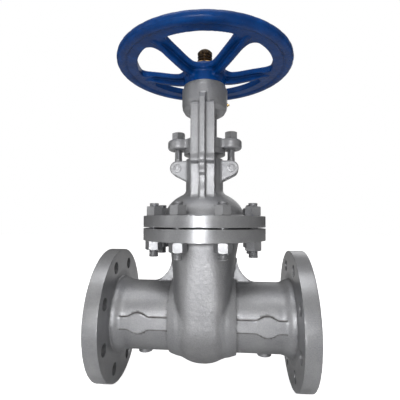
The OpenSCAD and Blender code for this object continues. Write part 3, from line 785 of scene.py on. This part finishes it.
def piece(name, shape, body, slot, replaces, sharp=34, field=None, machined=None, painted_shadow_lines=None):
    """Adds one visible piece that stands for CAD nodes and moves with a body."""
    points, faces = shape
    mesh = bpy.data.meshes.new(name)
    mesh.from_pydata(row(points).tolist(), [], [tuple(int(i) for i in f) for f in faces])
    mesh.shade_smooth()
    mesh.set_sharp_from_angle(angle=math.radians(sharp))
    mesh.materials.append(MATERIALS[slot])
    value = machined(*points.T) if machined else np.full(len(points), 0.4)
    paint_masks(mesh, points, field, value)
    # Painted shadow lines round the pads, added to the corner shade.
    if painted_shadow_lines:
        layer = mesh.attributes["crevice_shade"].data
        old = np.empty(len(points), np.float32)
        layer.foreach_get("value", old)
        layer.foreach_set("value", np.maximum(old, painted_shadow_lines(*points.T)).astype(np.float32))
    made = bpy.data.objects.new(name, mesh)
    bpy.context.scene.collection.objects.link(made)
    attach(made, body)
    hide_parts(*replaces)
    return made


def body_machined(x, y, z):
    """One on the turned rims, faces and bore of the body, nought on its cast skin."""
    ax, rx, rz = np.abs(x), np.hypot(y, z), np.hypot(x, y)
    hub_x = HALF_LENGTH - RAISED_FACE - FLANGE_T
    flange = (ax > hub_x - 0.3) & (rx > 66)
    joint = (z > BODY_FLANGE_Z - 0.3) & (rz > 66)
    return (flange | joint | (rx < BORE_R + 1) | (ax > HALF_LENGTH - 1)).astype(float)


def pad_shadow_lines(x, y, z):
    """The shadow line round each pad and band on the pipes."""
    edge = pad_plan(np.abs(x), z)
    near = np.exp(-((edge - 0.6) / 1.0) ** 2) * (np.abs(x) > 49) * (np.abs(y) > 40)
    return near * (np.abs(x) < 118)


def build_castings():
    shape = contour(body_field, BODY_LO - 4.3, BODY_HI + 4.3, BODY_STEP)
    piece("valve_body", shape, "root", "silver_paint", ["body"],
          field=body_field, machined=body_machined, painted_shadow_lines=pad_shadow_lines)
    low, high = box_mm("bonnet")
    shape = contour(bonnet_field, low - 4.3, high + 4.3, BONNET_STEP)
    piece("yoke_bonnet", shape, "root", "silver_paint", ["bonnet"], field=bonnet_field,
          machined=lambda x, y, z: ((z < BONNET_FLANGE_Z + 0.3) & (np.hypot(x, y) > 68)).astype(float))
    shape = contour(gland_field, GLAND_LO - 3.1, GLAND_HI + 3.1, GLAND_STEP)
    piece("gland_plate", shape, "gland", "silver_paint", ["gland_flange"], field=gland_field,
          machined=lambda x, y, z: 0 * x)
    shape = contour(wheel_field, WHEEL_LO - 4.3, WHEEL_HI + 4.3, WHEEL_STEP)
    piece("wheel_casting", shape, "handwheel", "blue_paint", ["handwheel"], field=wheel_field)


# How far each stud's upper and lower nut is turned, in radians, going round the joint
NUT_TURNS = [(0.1, 0.7), (0.5, 0.2), (0.9, 0.4), (0.3, 0.95),
             (0.75, 0.15), (0.63, 0.11), (0.53, 0.01), (0.38, 0.6)]


def round_the_joint(count=8):
    """The number and the place of each stud."""
    for i in range(count):
        angle = (i + 0.5) * 2 * math.pi / count
        yield i, BOLT_CIRCLE_R * math.cos(angle), BOLT_CIRCLE_R * math.sin(angle)


def build_fasteners():
    studs, upper, lower = [], [], []
    low, high = STUD_LO[2], STUD_HI[2]
    for i, x, y in round_the_joint():
        threads = [(low + 0.6, BODY_FLANGE_Z - 9), (BONNET_FLANGE_Z + 9, high - 0.6)]
        studs.append(rod_with_thread(STUD_R, low, high, threads, 2.0, 0.9, (x, y), lead=0.8, steps=24))
        for nuts, z, turn in ((upper, BONNET_FLANGE_Z, NUT_TURNS[i][0]),
                              (lower, BODY_FLANGE_Z - STUD_NUT_H, NUT_TURNS[i][1])):
            nuts.append(hex_nut(STUD_NUT_AF, STUD_R - 0.3, z, z + STUD_NUT_H, (x, y), turn))
    piece("joint_studs", together(*studs), "root", "silver_paint", ["bonnet_studs"], sharp=50)
    piece("joint_nuts_upper", together(*upper), "root", "silver_paint", ["bonnet_nuts_upper"])
    piece("joint_nuts_lower", together(*lower), "root", "silver_paint", ["bonnet_nuts_lower"])

    for side, name in ((-1, "left"), (1, "right")):
        x = side * EYEBOLT_X
        nut = hex_nut(GLAND_NUT_AF, 5.8, NUT_LO[2], NUT_HI[2], (x, 0), 0.5)
        piece("gland_bolt_nut_" + name, nut, "gland_nut_" + name, "silver_paint", ["gland_nut_" + name])
        shank = rod_with_thread(6.0, PIN_Z + 3, EYE_HI[2], [(PIN_Z + 16, EYE_HI[2] - 0.6)], 1.75, 0.8,
                                (x, 0), lead=0.8, steps=24)
        eye = spin(rounded([(5.05, -6), (10, -6), (10, 6), (5.05, 6)], 1.2), 40, "y", (x, 0, PIN_Z))
        piece("eyebolt_shank_" + name, together(shank, eye), "root", "silver_paint",
              ["eyebolt_" + name], sharp=50)
        outline = rounded([(0, -16), (6.5, -16), (6.5, -14), (5, -14), (5, 19), (0, 19)], 0.5)
        pin = spin(outline, 32, "y", (x, 0, PIN_Z))
        dimple = spin([(2.6, -15.9), (3.2, -16.25), (3.9, -16.25), (4.5, -15.9)], 32, "y", (x, 0, PIN_Z))
        piece("eyebolt_pin_" + name, together(pin, dimple), "root", "silver_paint", ["hinge_pin_" + name])


def build_cotters():
    y = (COTTER_LO[1] + COTTER_HI[1]) / 2
    low, high = COTTER_LO[2], COTTER_HI[2]
    wires = []
    for side in (-1, 1):
        x = side * EYEBOLT_X
        turn = np.linspace(-0.75 * np.pi, 0.75 * np.pi, 13)
        loop = [(x + 2.0 * np.sin(t), y, high - 2.4 + 2.0 * np.cos(t)) for t in turn]
        legs = []
        for way in (-1, 1):
            leg = [(x + way * 0.55, y, z) for z in (PIN_Z + 4.6, PIN_Z, low + 2.6)]
            legs.append(leg + [(x + way * 1.6, y, low + 0.9), (x + way * 2.6, y, low + 0.6)])
        wires.append(tube(legs[0][::-1] + loop + legs[1], 0.5, 10))
    piece("split_pins", together(*wires), "root", "black_steel", ["cotter_pins"], sharp=60)


def build_stem():
    top = STEM_HI[2]
    bar = rod_with_thread(STEM_R, 75.0, top - 6.0, [(284.0, top - 7.0)], THREAD_PITCH, 2.3,
                          hand=-1, steps=56, cut=0.32)
    dome = spin([(0, top - 7.0), (STEM_R - 0.6, top - 7.0), (STEM_R - 1.0, top - 5.4),
                 (STEM_R - 2.2, top - 3.4), (STEM_R - 4.6, top - 1.5), (STEM_R - 7.5, top - 0.5),
                 (0, top)], 56)
    neck = spin([(0, 55), (STEM_R - 2, 55), (STEM_R - 2, 76), (0, 76)], 40)
    seat = spin([(0, 93), (15, 93), (15, 96), (STEM_R, 99), (0, 99)], 40)
    tee = block((-12, -16, STEM_LO[2]), (12, 16, STEM_LO[2] + 10.5), 1.0)
    piece("stem_with_thread", together(bar, dome, neck, seat, tee), "stem", "stem_steel", ["stem"], sharp=42)


def build_packing(rings=4):
    """Four square-plaited rings, stacked round the stem."""
    low, high = box_mm("packing_rings")
    each = (high[2] + 0.1 - low[2]) / rings
    shapes = []
    for i in range(rings):
        z = low[2] + i * each
        inner, top = STEM_R + 0.05, z + each - 0.1
        outline = rounded([(inner, z), (high[0], z), (high[0], top), (inner, top)], 1.2)
        shapes.append(spin(outline, 64))
    made = piece("packing_stack", together(*shapes), "root", "graphite", ["packing_rings"])
    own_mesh(made)


def build_gland_bush():
    low, high, r = BUSH_LO[2], BUSH_HI[2], BUSH_HI[0]
    outline = rounded([(STEM_R + 0.3, low), (PACKING_R - 0.3, low), (PACKING_R - 0.3, high - 8),
                       (r, high - 8), (r, high), (STEM_R + 0.3, high)], 0.8)
    piece("gland_follower", spin(outline, 72), "gland", "silver_paint", ["gland_bush"])


def build_head():
    low, top = CAP_LO[2], CAP_HI[2]
    outline = rounded([(18.0, low), (POCKET_R, low), (POCKET_R, HEAD_TOP_Z), (CAP_HI[0], HEAD_TOP_Z),
                       (CAP_HI[0], top), (18.0, top)], 0.9)
    cap = spin(outline, 96)
    piece("bearing_cap_ring", cap, "root", "silver_paint", ["bearing_cap"])

    z = (SCREW_LO[2] + SCREW_HI[2]) / 2
    r = SCREW_HI[1]
    screws = []
    for side in (-1, 1):
        end, slot = SCREW_HI[0], SCREW_HI[0] - 1.5
        outline = rounded([(0, 29.2), (r, 29.2), (r, end), (1.2, end), (1.2, slot), (0, slot)], 0.3)
        outline = [(a, side * b) for a, b in outline]
        screws.append(spin(outline if side > 0 else outline[::-1], 24, "x", (0, 0, z)))
    piece("cap_set_screws", together(*screws), "root", "bearing_steel", ["bearing_set_screws"])

    z = (NIPPLE_LO[2] + NIPPLE_HI[2]) / 2
    end = NIPPLE_HI[0]
    nipple = spin([(0, 29.5), (2.9, 29.5), (2.9, end - 2.6), (1.7, end - 2.2), (1.25, end - 1.7),
                   (1.25, end - 1.3), (1.9, end - 0.9), (1.9, end - 0.4), (1.2, end - 0.05), (0, end)],
                  28, "x", (0, 0, z))
    piece("grease_fitting", nipple, "root", "brass", ["grease_nipple"])

    low, high = LOCK_LO[2], LOCK_HI[2]

    def lock_field(x, y, z):
        ring = trim(np.hypot(x, y) - 21, slab(z, low, high), 0.7)
        slots = np.hypot(*[v - s for v, s in zip(fold(x, y, 4, 0), (21, 0))]) - 2.5
        space = np.minimum(np.hypot(x, y) - STEM_NUT_R + 1.0, slots)
        return trim(ring, -space, 0.3)

    shape = contour(lock_field, LOCK_LO - 2, LOCK_HI + 2, LOCK_STEP)
    piece("wheel_lock_ring", shape, "handwheel", "bronze", ["handwheel_lock_nut"])


build_castings()
build_fasteners()
build_cotters()
build_stem()
build_packing()
build_gland_bush()
build_head()

for entry in frame["record"]["subparts"]:
    mesh = nodes[entry["node"]].data
    mesh.materials.clear()
    mesh.materials.append(MATERIALS[entry["material_slot"]])


# Floor, light and camera


def add_floor():
    verts, faces = spin([(0, -0.02), (6, -0.02), (6, 0), (0, 0)], 96)
    floor_z = cad_box[0][2] - 0.0003
    mesh = bpy.data.meshes.new("floor")
    mesh.from_pydata([(x + CENTRE_X, y, z + floor_z) for x, y, z in verts], [], faces)
    s = Shader("floor_finish")
    tone = s.ramp(s.noise(3, 3), [(0.3, (0.80, 0.80, 0.80)), (0.7, (0.83, 0.83, 0.83))])
    seen = s.node("LightPath").outputs["Is Camera Ray"]
    s.set(Base_Color=tone, Roughness=0.8, Specular_IOR_Level=0.1)
    s.set(Emission_Color=(1, 1, 1, 1), Emission_Strength=s.times(seen, 0.9))
    mesh.materials.append(s.material)
    floor = bpy.data.objects.new("floor", mesh)
    bpy.context.scene.collection.objects.link(floor)


def add_area(name, place, target, size, power, colour=(1, 1, 1)):
    light = bpy.data.lights.new(name, "AREA")
    light.shape = "RECTANGLE"
    light.size, light.size_y = size
    light.energy = power
    light.color = colour
    lamp = bpy.data.objects.new(name, light)
    lamp.location = place
    direction = Vector(target) - Vector(place)
    lamp.rotation_euler = direction.to_track_quat("-Z", "Y").to_euler()
    bpy.context.scene.collection.objects.link(lamp)


def add_world():
    """A pale surround. The object sees it darker behind and at the sides than above and in front."""
    world = bpy.data.worlds.new("studio")
    bpy.context.scene.world = world
    world.use_nodes = True
    tree = world.node_tree
    tree.nodes.clear()
    out = tree.nodes.new("ShaderNodeOutputWorld")
    seen = tree.nodes.new("ShaderNodeBackground")
    seen.inputs["Color"].default_value = (1.0, 1.0, 1.0, 1)
    seen.inputs["Strength"].default_value = 1.0
    lit = tree.nodes.new("ShaderNodeBackground")
    place = tree.nodes.new("ShaderNodeTexCoord")
    parts = tree.nodes.new("ShaderNodeSeparateXYZ")
    front = tree.nodes.new("ShaderNodeMapRange")
    above = tree.nodes.new("ShaderNodeMapRange")
    for made, values in ((front, (0.35, -0.9, 0.06, 0.34)), (above, (0.1, 0.9, 0.0, 0.35))):
        for socket, value in zip(("From Min", "From Max", "To Min", "To Max"), values):
            made.inputs[socket].default_value = value
    total = tree.nodes.new("ShaderNodeMath")
    total.operation = "ADD"
    paths = tree.nodes.new("ShaderNodeLightPath")
    mix = tree.nodes.new("ShaderNodeMixShader")
    lit.inputs["Color"].default_value = (1.0, 0.985, 0.965, 1)
    link = tree.links.new
    link(place.outputs["Generated"], parts.inputs["Vector"])
    link(parts.outputs["Y"], front.inputs["Value"])
    link(parts.outputs["Z"], above.inputs["Value"])
    link(front.outputs["Result"], total.inputs[0])
    link(above.outputs["Result"], total.inputs[1])
    link(total.outputs[0], lit.inputs["Strength"])
    link(paths.outputs["Is Camera Ray"], mix.inputs["Fac"])
    link(lit.outputs["Background"], mix.inputs[1])
    link(seen.outputs["Background"], mix.inputs[2])
    link(mix.outputs["Shader"], out.inputs["Surface"])


def add_camera():
    yaw, pitch, roll = math.radians(-5.12), math.radians(3.78), math.radians(0.23)
    level_right = Vector((math.cos(yaw), -math.sin(yaw), 0))
    level_front = Vector((math.sin(yaw), math.cos(yaw), 0))
    front = level_front * math.cos(pitch) + Vector((0, 0, math.sin(pitch)))
    level_up = Vector((0, 0, math.cos(pitch))) - level_front * math.sin(pitch)
    right = level_right * math.cos(roll) + level_up * math.sin(roll)
    up = level_up * math.cos(roll) - level_right * math.sin(roll)
    data = bpy.data.cameras.new("camera")
    data.lens = 29.30
    data.sensor_width = 36.0
    data.clip_start = 0.01
    camera = bpy.data.objects.new("camera", data)
    turn = Matrix((right, up, -front)).transposed()
    camera.matrix_world = Matrix.Translation((CENTRE_X + 0.0390, -0.5156, 0.1447)) @ turn.to_4x4()
    bpy.context.scene.collection.objects.link(camera)
    bpy.context.scene.camera = camera


add_floor()
add_world()
add_area("front_soft", (CENTRE_X - 0.12, -1.6, 0.14), (CENTRE_X, 0, 0.12), (0.26, 0.55), 12)
add_area("top_soft", (CENTRE_X - 0.1, -0.5, 1.7), (CENTRE_X, 0, 0.1), (1.4, 0.9), 11)
add_area("left_soft", (CENTRE_X - 1.6, -0.9, 0.7), (CENTRE_X, 0, 0.1), (0.4, 1.0), 3)
add_area("back_soft", (CENTRE_X + 0.7, 1.6, 0.9), (CENTRE_X, 0, 0.15), (0.9, 0.9), 3)
add_camera()
bpy.context.scene.view_settings.view_transform = "Standard"
